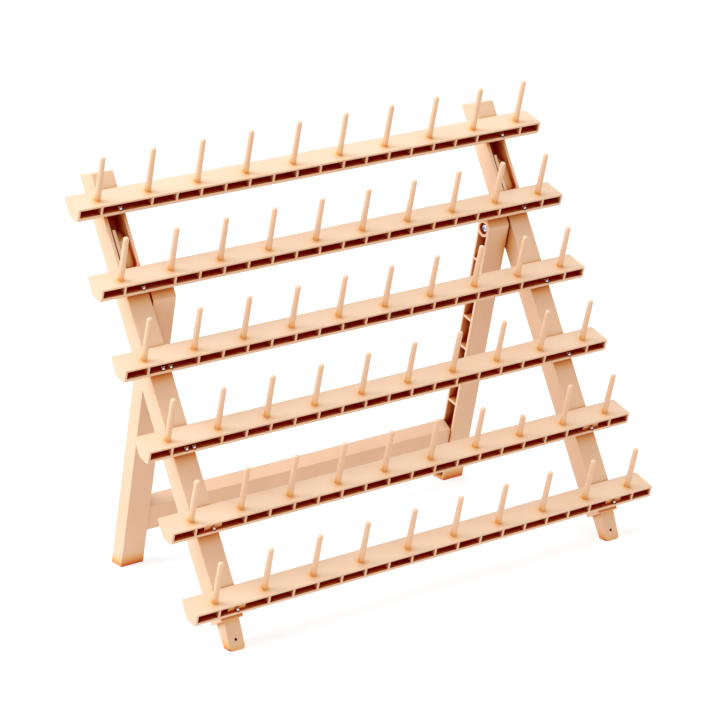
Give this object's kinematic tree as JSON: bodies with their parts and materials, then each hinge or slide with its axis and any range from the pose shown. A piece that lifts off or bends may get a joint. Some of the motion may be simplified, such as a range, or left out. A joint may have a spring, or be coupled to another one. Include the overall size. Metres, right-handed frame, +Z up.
{
  "type": "folding thread spool rack",
  "caption": "Folding beige plastic rack with tiered peg bars for thread spools, on two front legs with a hinged rear stand.",
  "frame": {"origin": "centre of the rack's outline on the floor", "axes": "+Z up, X along the bars, the pegs and bars face -Y"},
  "size_m": [0.397, 0.1886, 0.3171],
  "materials": {
    "beige_plastic": "fine satin moulded surface",
    "steel_screw": "bright zinc plated"
  },
  "bodies": {
    "front_frame": {"front_leg_left": "beige_plastic", "front_leg_right": "beige_plastic", "bar_1": "beige_plastic", "bar_2": "beige_plastic", "bar_3": "beige_plastic", "bar_4": "beige_plastic", "bar_5": "beige_plastic", "bar_6": "beige_plastic", "bar_screw_1_left": "steel_screw", "bar_screw_1_right": "steel_screw", "bar_screw_2_left": "steel_screw", "bar_screw_2_right": "steel_screw", "bar_screw_3_left_outer": "steel_screw", "bar_screw_3_left_inner": "steel_screw", "bar_screw_3_right": "steel_screw", "bar_screw_4_left_outer": "steel_screw", "bar_screw_4_left_inner": "steel_screw", "bar_screw_4_right": "steel_screw", "bar_screw_5_left": "steel_screw", "bar_screw_5_right": "steel_screw", "bar_screw_6_left": "steel_screw", "bar_screw_6_right": "steel_screw", "pivot_screw_left": "steel_screw", "pivot_screw_right": "steel_screw"},
    "rear_frame": {"rear_leg_left": "beige_plastic", "rear_leg_right": "beige_plastic", "rear_crossbar": "beige_plastic"}
  },
  "joints": [
    {"name": "rear_frame_fold", "type": "hinge", "parent": "front_frame", "child": "rear_frame", "pos_m": [0, 0.03431, 0.21385], "axis": [-1, 0, 0], "range_deg": [0, 43]}
  ]
}
